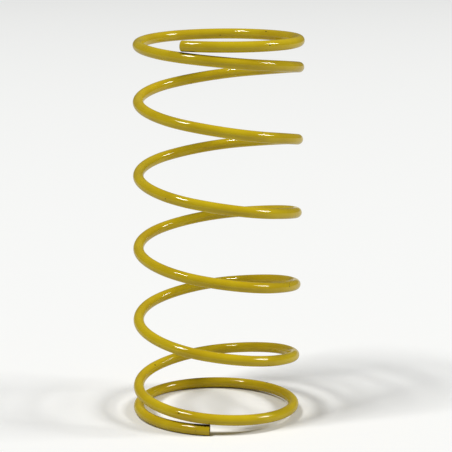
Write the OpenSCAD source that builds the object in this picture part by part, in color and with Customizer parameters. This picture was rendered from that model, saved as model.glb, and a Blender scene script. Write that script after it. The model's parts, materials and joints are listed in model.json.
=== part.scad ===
// Helical compression spring for a light vehicle's suspension: one round bar coiled left-handed,
// with end coils that lie flat and close on their own square-cut, unground tips. It stands on the
// lower end coil, +Z up.
// The bar is drawn as plane bends that follow each other tangent to tangent. Two bends make one rigid
// stretch, and hairline slits part the stretches, so that the spring can be compressed between them.

/* [Bar] */
// Diameter of the bar
wire_d = 10; // [6:0.5:10]
// Slit between two stretches that turn on each other
slit = 0.3; // [0.2:0.05:0.6]

/* [Coil] */
// Mean diameter of the coil, from bar centre to bar centre
mean_d = 150; // [120:1:200]
// Total turns from tip to tip
turns = 7.06; // [6:0.01:8]
// Rise of one active turn
pitch = 70; // [70:1:90]
// Angle of the lower tip seen from above, counted from +X
tip_angle = -94; // [-180:0.5:180]

/* [Ends] */
// Angle of bar that lies flat on a seat at each end
flat_angle = 150; // [90:5:150]
// Angle over which each end coil then opens to the full pitch
opening_angle = 415; // [360:5:415]

/* [Hidden] */
$fn = 96;
coat_colour = [0.79, 0.67, 0.09];
mean_r = mean_d / 2;
total_angle = 360 * turns;

// bends in one end coil, which is one turn, in all the active turns and in one stretch of them
end_bends = 6;
active_bends = 30;
stretch_bends = 2;
bend_count = active_bends + 2 * end_bends;
end_step = 360 / end_bends;
active_step = (total_angle - 2 * 360) / active_bends;

// a ramp from 0 to 1 that is w long, x past its start, and the area under it
function ramp(x, w) = min(max(x / w, 0), 1);
function ramp_area(x, w) = x <= 0 ? 0 : x < w ? x * x / (2 * w) : x - w / 2;

// how far the turns are open at angle u along the bar, from 0 to 1, and the sum of that from the lower tip
closing_start = total_angle - flat_angle - opening_angle;
function openness(u) = ramp(u - flat_angle, opening_angle) - ramp(u - closing_start, opening_angle);
function opened(u) =
    ramp_area(u - flat_angle, opening_angle) - ramp_area(u - closing_start, opening_angle);

// height of the bar's centre, its rise per turn, and its point on the coil
function height(u) = wire_d / 2 + pitch * opened(u) / 360;
function rise(u) = pitch * openness(u);
function coil_point(u) = [mean_r * cos(tip_angle - u), mean_r * sin(tip_angle - u), height(u)];

// angle along the bar at the start of bend i
function bend_start(i) =
    i <= end_bends ? i * end_step
    : i <= end_bends + active_bends ? 360 + (i - end_bends) * active_step
    : total_angle - (bend_count - i) * end_step;

// A plane bend is flatter at its ends than at its middle, so the tangent there has less slope than the coil.
half_step = active_step / 2;
flatter = half_step * PI / 180 / tan(half_step);
function unit(v) = v / norm(v);
function tangent(u) = unit([sin(tip_angle - u), -cos(tip_angle - u), flatter * rise(u) / (2 * PI * mean_r)]);

// chord of bend i, and the joint points that the chords add up to
function chord_length(i) = norm(coil_point(bend_start(i + 1)) - coil_point(bend_start(i)));
function chord_way(i) = unit(tangent(bend_start(i)) + tangent(bend_start(i + 1)));
function bulge_way(i) = unit(tangent(bend_start(i)) - tangent(bend_start(i + 1)));
joint_points = [
    for (i = 0, at = coil_point(0); i <= bend_count; at = at + chord_length(i) * chord_way(i), i = i + 1) at
];

// half of bend i's angle, and its radius
function half_angle(i) = acos(tangent(bend_start(i)) * tangent(bend_start(i + 1))) / 2;
function bend_radius(i) = chord_length(i) / (2 * sin(half_angle(i)));

// Bend i of the bar, cut back by a length at its lower and at its upper end
module bend(i, cut_low = 0, cut_high = 0) {
    half = half_angle(i);
    radius = bend_radius(i);
    outward = bulge_way(i);
    down = -chord_way(i);
    side = cross(outward, down);
    centre = (joint_points[i] + joint_points[i + 1]) / 2 - outward * radius * cos(half);
    trim_low = cut_low / radius * 180 / PI;
    trim_high = cut_high / radius * 180 / PI;
    color(coat_colour)
        multmatrix([
            [outward[0], down[0], side[0], centre[0]],
            [outward[1], down[1], side[1], centre[1]],
            [outward[2], down[2], side[2], centre[2]]
        ])
            rotate([0, 0, -half + trim_high])
                rotate_extrude(angle = 2 * half - trim_low - trim_high)
                    translate([radius, 0])
                        circle(d = wire_d);
}

// The lower end coil starts with the square-cut tip and ends at the first slit
module lower_tip() {
    bend(0);
}

module lower_seat(i) {
    bend(i);
}

module lower_rise() {
    bend(end_bends - 1, 0, slit / 2);
}

// Active bends come in stretches of two, with a slit below the first and above the second
module active_bend(i) {
    is_first = (i - end_bends) % stretch_bends == 0;
    bend(i, is_first ? slit / 2 : 0, is_first ? 0 : slit / 2);
}

// The upper end coil starts above the last slit and ends with the other square-cut tip
module upper_rise() {
    bend(bend_count - end_bends, slit / 2, 0);
}

module upper_seat(i) {
    bend(i);
}

module upper_tip() {
    bend(bend_count - 1);
}

lower_tip();
for (i = [1:end_bends - 2])
    lower_seat(i);
lower_rise();
for (i = [end_bends:bend_count - end_bends - 1])
    active_bend(i);
upper_rise();
for (i = [bend_count - end_bends + 1:bend_count - 2])
    upper_seat(i);
upper_tip();
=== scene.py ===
import bpy
import json
import math
from mathutils import Matrix, Vector


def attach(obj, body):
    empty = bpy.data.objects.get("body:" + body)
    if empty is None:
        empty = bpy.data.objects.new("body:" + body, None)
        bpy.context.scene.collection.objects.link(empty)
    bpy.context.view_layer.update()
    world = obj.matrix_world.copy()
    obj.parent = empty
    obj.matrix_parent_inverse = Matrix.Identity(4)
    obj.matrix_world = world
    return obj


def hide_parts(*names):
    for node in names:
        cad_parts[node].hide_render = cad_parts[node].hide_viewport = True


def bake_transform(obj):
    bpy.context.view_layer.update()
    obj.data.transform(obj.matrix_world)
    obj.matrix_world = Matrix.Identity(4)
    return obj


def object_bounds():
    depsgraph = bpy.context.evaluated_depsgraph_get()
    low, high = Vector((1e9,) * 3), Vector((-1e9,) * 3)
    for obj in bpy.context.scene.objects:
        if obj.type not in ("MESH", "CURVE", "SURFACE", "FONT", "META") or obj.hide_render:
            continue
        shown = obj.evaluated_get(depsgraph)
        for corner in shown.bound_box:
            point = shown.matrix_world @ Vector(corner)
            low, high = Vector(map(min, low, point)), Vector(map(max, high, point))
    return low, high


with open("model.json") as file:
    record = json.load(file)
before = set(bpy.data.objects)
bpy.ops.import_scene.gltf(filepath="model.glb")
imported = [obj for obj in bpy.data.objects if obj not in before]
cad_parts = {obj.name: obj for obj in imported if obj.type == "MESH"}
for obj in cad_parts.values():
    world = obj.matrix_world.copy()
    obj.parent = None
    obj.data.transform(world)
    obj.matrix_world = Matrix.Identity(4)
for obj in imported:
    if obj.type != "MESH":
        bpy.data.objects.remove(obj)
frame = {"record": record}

# All lengths are metres. The spring stands on its lower end coil, +Z up along its axis.


def boxOfAll():
    return [list(corner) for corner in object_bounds()]


cadBox = boxOfAll()
middle = (Vector(cadBox[0]) + Vector(cadBox[1])) / 2
print("stage: packed model loaded, free length", round(cadBox[1][2] - cadBox[0][2], 4))


coil = {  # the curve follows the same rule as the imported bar
    "barRadius": 0.005,
    "meanRadius": 0.075,
    "turns": 7.06,
    "pitch": 0.070,
    "tipAngle": math.radians(-94),
    "flatAngle": math.radians(150),       # lies flat on its seat
    "openingAngle": math.radians(415),    # then opens to the full pitch
    "endBends": 6,                        # plane bends in one end coil, which is one turn
    "activeBends": 30,
}
fullTurn = 2 * math.pi
totalAngle = coil["turns"] * fullTurn
bendCount = coil["activeBends"] + 2 * coil["endBends"]
activeStep = (totalAngle - 2 * fullTurn) / coil["activeBends"]
closingStart = totalAngle - coil["flatAngle"] - coil["openingAngle"]


def ramp(x):
    return min(max(x / coil["openingAngle"], 0), 1)


def rampArea(x):
    width = coil["openingAngle"]
    if x <= 0:
        return 0
    return x * x / (2 * width) if x < width else x - width / 2


def coilPoint(u):
    opened = rampArea(u - coil["flatAngle"]) - rampArea(u - closingStart)
    height = coil["barRadius"] + coil["pitch"] * opened / fullTurn
    turned = coil["tipAngle"] - u
    radius = coil["meanRadius"]
    return Vector((radius * math.cos(turned), radius * math.sin(turned), height))


def coilTangent(u):
    rise = coil["pitch"] * (ramp(u - coil["flatAngle"]) - ramp(u - closingStart))
    flatter = activeStep / 2 / math.tan(activeStep / 2)  # a plane bend is flatter at its ends
    turned = coil["tipAngle"] - u
    slope = flatter * rise / (fullTurn * coil["meanRadius"])
    return Vector((math.sin(turned), -math.cos(turned), slope)).normalized()


def bendStart(i):
    if i <= coil["endBends"]:
        return i * fullTurn / coil["endBends"]
    if i <= coil["endBends"] + coil["activeBends"]:
        return fullTurn + (i - coil["endBends"]) * activeStep
    return totalAngle - (bendCount - i) * fullTurn / coil["endBends"]


def listBends():
    found = []
    start = coilPoint(0)
    for i in range(bendCount):
        low, high = bendStart(i), bendStart(i + 1)
        wayIn, wayOut = coilTangent(low), coilTangent(high)
        chord = (coilPoint(high) - coilPoint(low)).length
        angle = wayIn.angle(wayOut)
        radius = chord / (2 * math.sin(angle / 2))
        along = (wayIn + wayOut).normalized()
        outward = (wayIn - wayOut).normalized()
        end = start + along * chord
        centre = (start + end) / 2 - outward * radius * math.cos(angle / 2)
        axis = along.cross(outward)  # mesh.spin turns clockwise about it
        found.append({"start": start, "end": end, "centre": centre, "axis": axis,
                      "angle": angle, "wayIn": wayIn, "wayOut": wayOut})
        start = end
    return found


bends = listBends()
topOfBar = bends[-1]["end"].z + coil["barRadius"]
print("stage: curve of", len(bends), "plane bends, top at", round(topOfBar, 4))


barMesh = {
    "sides": 64,                       # round the bar
    "ringAngle": math.radians(1.5),    # between two rings along it
    "seamAngle": math.radians(0.1),    # a short ring beside a seam keeps the shading even across it
    "smoothAngle": math.radians(40),
    "doubles": 1e-6,
}
cutTip = {
    "edge": 0.0004,         # the shear leaves the rim slightly rounded
    "edgeSegments": 3,
    "rim": 0.0011,          # flat border round the sheared dish
    "dish": 0.00025,        # depth of the dish
    "core": 0.0018,         # from the dish's border to the raised core
    "coreRise": 0.00012,
}


def spinAlong(bend, fromShare, toShare, steps):
    # the selected ring is swept along part of the bend, and the new end ring stays selected
    angle = bend["angle"] * (toShare - fromShare)
    bpy.ops.mesh.spin(steps=steps, angle=angle, center=bend["centre"], axis=bend["axis"])


def sweepRing(first, last, tips):
    for i in range(first, last + 1):
        bend = bends[i]
        seam = barMesh["seamAngle"] / bend["angle"]
        fromShare = seam if i == first and "start" not in tips else 0
        toShare = 1 - seam if i == last and "end" not in tips else 1
        if fromShare > 0:
            spinAlong(bend, 0, fromShare, 1)
        spinAlong(bend, fromShare, toShare, math.ceil(bend["angle"] / barMesh["ringAngle"]))
        if toShare < 1:
            spinAlong(bend, toShare, 1, 1)


def selectCap(obj, place):
    # the one many-sided face whose middle is at that place
    bpy.ops.mesh.select_all(action="DESELECT")
    bpy.ops.object.mode_set(mode="OBJECT")
    for face in obj.data.polygons:
        isCap = len(face.vertices) >= barMesh["sides"]
        face.select = isCap and (face.center - place).length < coil["barRadius"] / 2
    bpy.ops.object.mode_set(mode="EDIT")


def shearTip(obj, place, outward):
    # a square-cut end: rounded rim, shallow sheared dish and the raised core where the metal tore last
    bpy.ops.mesh.select_mode(type="FACE")
    selectCap(obj, place)
    bpy.ops.mesh.bevel(offset=cutTip["edge"], segments=cutTip["edgeSegments"], affect="EDGES")
    selectCap(obj, place)
    bpy.ops.mesh.inset(thickness=cutTip["rim"], depth=0)
    bpy.ops.mesh.inset(thickness=cutTip["dish"], depth=0)
    bpy.ops.transform.translate(value=-outward * cutTip["dish"])
    bpy.ops.mesh.inset(thickness=cutTip["core"], depth=0)
    bpy.ops.transform.translate(value=outward * cutTip["coreRise"])


def makeBar(name, first, last, tips=()):
    # a closed length of bar that follows bends first to last
    bpy.ops.object.select_all(action="DESELECT")
    facing = bends[first]["wayIn"].to_track_quat("Z", "Y").to_euler()
    bpy.ops.mesh.primitive_circle_add(vertices=barMesh["sides"], radius=coil["barRadius"],
                                      location=bends[first]["start"], rotation=facing)
    obj = bpy.context.object
    obj.name = name
    obj.data.name = name
    bpy.ops.object.transform_apply(location=True, rotation=True, scale=True)
    bpy.ops.object.mode_set(mode="EDIT")
    bpy.ops.mesh.select_all(action="SELECT")
    sweepRing(first, last, tips)
    bpy.ops.mesh.select_all(action="SELECT")
    bpy.ops.mesh.remove_doubles(threshold=barMesh["doubles"])
    bpy.ops.mesh.fill_holes(sides=0)
    bpy.ops.mesh.select_all(action="SELECT")
    bpy.ops.mesh.normals_make_consistent(inside=False)
    if "start" in tips:
        shearTip(obj, bends[first]["start"], -bends[first]["wayIn"])
    if "end" in tips:
        shearTip(obj, bends[last]["end"], bends[last]["wayOut"])
    bpy.ops.object.mode_set(mode="OBJECT")
    bpy.ops.object.shade_smooth_by_angle(angle=barMesh["smoothAngle"])
    return obj


bareAndShadeMarks = {
    "contactAngle": math.radians(9),   # the tip rubs the next turn over this much of the coil, and painted crevice shade lies there too
    "contactSteps": 12,
    "contactShadeReach": 0.0046,            # from the line of contact to where the rubbed enamel and the painted crevice shade end
    "edgeShare": 0.34,                 # the film is thin on the sheared face, and gone in places
    "edgeReach": 0.0012,
}


def contactShadeLines():
    # where each tip lies against the turn next to it, the line along which the rub and the painted crevice
    # shade are drawn
    found = []
    for k in range(bareAndShadeMarks["contactSteps"] + 1):
        turned = bareAndShadeMarks["contactAngle"] * k / bareAndShadeMarks["contactSteps"]
        for low in (turned, totalAngle - fullTurn - turned):
            found.append((coilPoint(low) + coilPoint(low + fullTurn)) / 2)
    return found


contactShadePoints = contactShadeLines()
tipPlaces = [(bends[0]["start"], bends[0]["wayIn"]), (bends[-1]["end"], -bends[-1]["wayOut"])]


def markBareAndCreviceShade(obj):
    # 1 at the tip contacts, where the enamel is rubbed off and crevice shade is painted dark, falling to 0
    # where the film is whole; on the cut faces the film is only thinned
    bareAndCreviceShade = obj.data.attributes.new("bareAndCreviceShade", "FLOAT", "POINT")
    for vertex, entry in zip(obj.data.vertices, bareAndCreviceShade.data):
        # distance to the tip contacts, where rubbed enamel and painted crevice shade are drawn
        near = min((vertex.co - point).length for point in contactShadePoints)
        entry.value = max(0, 1 - near / bareAndShadeMarks["contactShadeReach"])
        for place, inward in tipPlaces:
            offset = vertex.co - place
            if offset.length < 2 * coil["barRadius"]:
                thinned = bareAndShadeMarks["edgeShare"] * (1 - abs(offset.dot(inward)) / bareAndShadeMarks["edgeReach"])
                entry.value = max(entry.value, thinned)


bodies = frame["record"]["behaviour"]["bodies"]
bodyNames = list(bodies)
nodeOfBend = [node for body in bodyNames for node in bodies[body]]
belowJoint = coil["endBends"] - 1  # the last bend below the first joint
barPieces = []


def standFor(obj, first, last):
    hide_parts(*nodeOfBend[first:last + 1])
    markBareAndCreviceShade(obj)
    barPieces.append(obj)


lowerEnd = makeBar("lower_end_bar", 0, belowJoint - 1, tips=["start"])
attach(lowerEnd, bodyNames[0])
standFor(lowerEnd, 0, belowJoint - 1)

aboveJoint = bendCount - belowJoint
upperEnd = makeBar("upper_end_bar", aboveJoint, bendCount - 1, tips=["end"])
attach(upperEnd, bodyNames[-1])
standFor(upperEnd, aboveJoint, bendCount - 1)

# each of the others crosses one joint, from the middle of one stretch to the middle of the next
for k in range(len(bodyNames) - 1):
    first = belowJoint + 2 * k
    last = first + 1
    bar = makeBar("bar_%02d" % (k + 1), first, last)
    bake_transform(bar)
    standFor(bar, first, last)
print("stage: bar made in", len(barPieces), "lengths")


def hexColour(text):
    # sRGB "#rrggbb" to linear
    channels = [int(text[i:i + 2], 16) / 255 for i in (1, 3, 5)]
    return (*[c / 12.92 if c <= 0.04045 else ((c + 0.055) / 1.055) ** 2.4 for c in channels], 1)


def perMetre(sizeMm):
    return 1000 / sizeMm


def newMaterial(name):
    material = bpy.data.materials.new(name)
    material.use_nodes = True
    material.node_tree.nodes.clear()
    return material


def addNode(tree, kind, values={}, links={}, **settings):
    # values: socket to its value; links: socket to (node, output)
    node = tree.nodes.new(kind)
    for name, setting in settings.items():
        setattr(node, name, setting)
    for socket, value in values.items():
        node.inputs[socket].default_value = value
    for socket, (source, output) in links.items():
        tree.links.new(source.outputs[output], node.inputs[socket])
    return node


def setStops(rampNode, stops):
    for element, (position, colour) in zip(rampNode.color_ramp.elements, stops):
        element.position = position
        element.color = colour


black, white = (0, 0, 0, 1), (1, 1, 1, 1)
mixFactor, mixFirst, mixSecond, mixColour = 0, 6, 7, 2  # sockets of a Mix node that mixes colours

enamel = {
    "thick": "#cdb318",        # full film
    "thin": "#c0a312",         # where the film ran thinner
    "nib": "#3a3208",          # dirt caught in the film
    "filmStops": (0.35, 0.62), # drift noise at the thin and at the full film
    "filmDetail": 3,
    "roughness": 0.36,
    "roughnessDrift": 0.05,
    "skin": 0.7,               # share of the clear skin's full reflection
    "skinRoughness": 0.05,
    "clearIor": 1.5,           # alkyd or polyester resin
    "driftMm": 38,             # colour drift along the bar
    "peelMm": 2.4,             # orange peel, drawn coarser than the real 0.8 mm so that it shows
    "peelHeight": 0.000007,
    "peelDetail": 2,
    "nibMm": 17,               # spacing of the nibs
    "nibEdge": 0.035,          # their radius as a share of that
    "nibBlur": 1.5,            # their soft border, as a share of the radius
    "bareSteelAndShade": "#5a4715",        # bare steel, darkened by the oven and oil, and along the tip contacts also painted crevice shade
    "steelRoughness": 0.55,
    "steelMm": 1.6,            # raggedness of the enamel's edge
    "steelDetail": 3,
    "bareAndShadeFrom": 0.78,         # attribute and raggedness together, where the steel colour and the painted crevice shade start to show
    "bareAndShadeTo": 0.88,
}


def sprayedEnamel():
    # Gloss enamel stoved on spring steel: a deep yellow under a clear skin, with sharp lamp
    # reflections, a faint orange peel, slow drift in the film, a few dirt nibs, bare steel at the tips and
    # painted crevice shade where each tip lies against the next turn.
    material = newMaterial("sprayedYellowEnamel")
    tree = material.node_tree
    place = addNode(tree, "ShaderNodeTexCoord")
    drift = addNode(tree, "ShaderNodeTexNoise",
                    {"Scale": perMetre(enamel["driftMm"]), "Detail": enamel["filmDetail"]},
                    {"Vector": (place, "Object")})
    film = addNode(tree, "ShaderNodeValToRGB", links={"Fac": (drift, "Fac")})
    thinStop, thickStop = enamel["filmStops"]
    setStops(film, [(thinStop, hexColour(enamel["thin"])), (thickStop, hexColour(enamel["thick"]))])
    cells = addNode(tree, "ShaderNodeTexVoronoi", {"Scale": perMetre(enamel["nibMm"])},
                    {"Vector": (place, "Object")})
    nib = addNode(tree, "ShaderNodeValToRGB", links={"Fac": (cells, "Distance")})
    setStops(nib, [(enamel["nibEdge"], white), (enamel["nibEdge"] * enamel["nibBlur"], black)])
    colour = addNode(tree, "ShaderNodeMix", {mixSecond: hexColour(enamel["nib"])},
                     {mixFactor: (nib, "Color"), mixFirst: (film, "Color")}, data_type="RGBA")
    bareAndShadeMark = addNode(tree, "ShaderNodeAttribute", attribute_name="bareAndCreviceShade")
    ragged = addNode(tree, "ShaderNodeTexNoise",
                     {"Scale": perMetre(enamel["steelMm"]), "Detail": enamel["steelDetail"]},
                     {"Vector": (place, "Object")})
    level = addNode(tree, "ShaderNodeMath", links={0: (bareAndShadeMark, "Fac"), 1: (ragged, "Fac")},
                    operation="ADD")
    bareAndCreviceShade = addNode(tree, "ShaderNodeMapRange",
                   {"From Min": enamel["bareAndShadeFrom"], "From Max": enamel["bareAndShadeTo"]},
                   {"Value": (level, "Value")})
    # the dark steel colour laid over the enamel: bare steel at the cut tips, and painted crevice shade
    # along the tip contacts
    wornAndShaded = addNode(tree, "ShaderNodeMix", {mixSecond: hexColour(enamel["bareSteelAndShade"])},
                   {mixFactor: (bareAndCreviceShade, "Result"), mixFirst: (colour, mixColour)}, data_type="RGBA")
    peel = addNode(tree, "ShaderNodeTexNoise",
                   {"Scale": perMetre(enamel["peelMm"]), "Detail": enamel["peelDetail"]},
                   {"Vector": (place, "Object")})
    bump = addNode(tree, "ShaderNodeBump", {"Strength": 1, "Distance": enamel["peelHeight"]},
                   {"Height": (peel, "Fac")})
    gloss = addNode(tree, "ShaderNodeMapRange",
                    {"To Min": enamel["roughness"] - enamel["roughnessDrift"],
                     "To Max": enamel["roughness"] + enamel["roughnessDrift"]},
                    {"Value": (drift, "Fac")})
    dull = addNode(tree, "ShaderNodeMapRange", {"To Max": enamel["steelRoughness"]},
                   {"Value": (bareAndCreviceShade, "Result"), "To Min": (gloss, "Result")})
    skin = addNode(tree, "ShaderNodeMapRange", {"To Min": enamel["skin"], "To Max": 0},
                   {"Value": (bareAndCreviceShade, "Result")})
    paint = addNode(tree, "ShaderNodeBsdfPrincipled",
                    {"IOR": enamel["clearIor"], "Specular IOR Level": 0,
                     "Coat Roughness": enamel["skinRoughness"], "Coat IOR": enamel["clearIor"]},
                    {"Base Color": (wornAndShaded, mixColour), "Roughness": (dull, "Result"),
                     "Coat Weight": (skin, "Result"), "Normal": (bump, "Normal"),
                     "Coat Normal": (bump, "Normal")})
    addNode(tree, "ShaderNodeOutputMaterial", links={"Surface": (paint, "BSDF")})
    return material


enamelCoat = sprayedEnamel()
for bar in barPieces:
    bar.data.materials.append(enamelCoat)
print("stage: materials made")


stageSet = {
    "floorHalf": 60,
    "floorColour": "#fcfcfa",          # as seen
    "bounceColour": "#dadad6",         # what it throws back at the spring, as if matted down round it
    "lampDistance": 25,
    "skyColour": "#606264",            # dim room round the lamps
    "backdropColour": "#eeeeec",
}
lamps = {  # degrees; the width is as seen from the spring
    "overheadLamp": {"azimuth": 212, "elevation": 61, "width": 12, "watts": 3900},
    "sideLamp": {"azimuth": 357, "elevation": 36, "width": 15, "watts": 3400},
}
cameraSet = {
    "distance": 1.5557,
    "tiltDown": math.radians(11.62),
    "roll": math.radians(0.45),
    "aimAside": 0.0082,                # the spring stands a little left of the middle
    "aimUp": 0.0006,
    "lens": 130.2,
}


def makeFloor():
    bpy.ops.object.select_all(action="DESELECT")
    bpy.ops.mesh.primitive_plane_add(size=2 * stageSet["floorHalf"])
    floor = bpy.context.object
    floor.name = "studio_floor"
    material = newMaterial("mattFloorPaint")
    tree = material.node_tree
    ray = addNode(tree, "ShaderNodeLightPath")
    tone = addNode(tree, "ShaderNodeMix", {mixFirst: hexColour(stageSet["bounceColour"]),
                                           mixSecond: hexColour(stageSet["floorColour"])},
                   {mixFactor: (ray, "Is Camera Ray")}, data_type="RGBA")
    paint = addNode(tree, "ShaderNodeBsdfDiffuse", links={"Color": (tone, mixColour)})
    addNode(tree, "ShaderNodeOutputMaterial", links={"Surface": (paint, "BSDF")})
    floor.data.materials.append(material)


def wayTo(azimuth, elevation):
    turned, raised = math.radians(azimuth), math.radians(elevation)
    level = math.cos(raised)
    return Vector((math.cos(turned) * level, math.sin(turned) * level, math.sin(raised)))


def makeLamp(name, lamp):
    way = wayTo(lamp["azimuth"], lamp["elevation"])
    data = bpy.data.lights.new(name, "AREA")
    data.energy = lamp["watts"]
    data.size = 2 * stageSet["lampDistance"] * math.tan(math.radians(lamp["width"]) / 2)
    light = bpy.data.objects.new(name, data)
    light.location = middle + way * stageSet["lampDistance"]
    light.rotation_euler = way.to_track_quat("Z", "Y").to_euler()
    bpy.context.scene.collection.objects.link(light)


def makeRoom():
    world = bpy.data.worlds.new("studioRoom")
    bpy.context.scene.world = world
    world.use_nodes = True
    tree = world.node_tree
    tree.nodes.clear()
    ray = addNode(tree, "ShaderNodeLightPath")
    room = addNode(tree, "ShaderNodeBackground", {"Color": hexColour(stageSet["skyColour"])})
    backdrop = addNode(tree, "ShaderNodeBackground", {"Color": hexColour(stageSet["backdropColour"])})
    shown = addNode(tree, "ShaderNodeMixShader",
                    links={0: (ray, "Is Camera Ray"), 1: (room, "Background"), 2: (backdrop, "Background")})
    addNode(tree, "ShaderNodeOutputWorld", links={"Surface": (shown, "Shader")})


def makeCamera():
    data = bpy.data.cameras.new("camera")
    data.lens = cameraSet["lens"]
    camera = bpy.data.objects.new("camera", data)
    tilt = cameraSet["tiltDown"]
    forward = Vector((0, math.cos(tilt), -math.sin(tilt)))
    aim = middle + Vector((cameraSet["aimAside"], 0, cameraSet["aimUp"]))
    turned = Matrix.Rotation(math.pi / 2 - tilt, 4, "X") @ Matrix.Rotation(cameraSet["roll"], 4, "Z")
    camera.matrix_world = Matrix.Translation(aim - forward * cameraSet["distance"]) @ turned
    bpy.context.scene.collection.objects.link(camera)
    bpy.context.scene.camera = camera


makeFloor()
for name, lamp in lamps.items():
    makeLamp(name, lamp)
makeRoom()
makeCamera()
bpy.context.scene.view_settings.view_transform = "Standard"
print("stage: floor, lamps and camera in place")
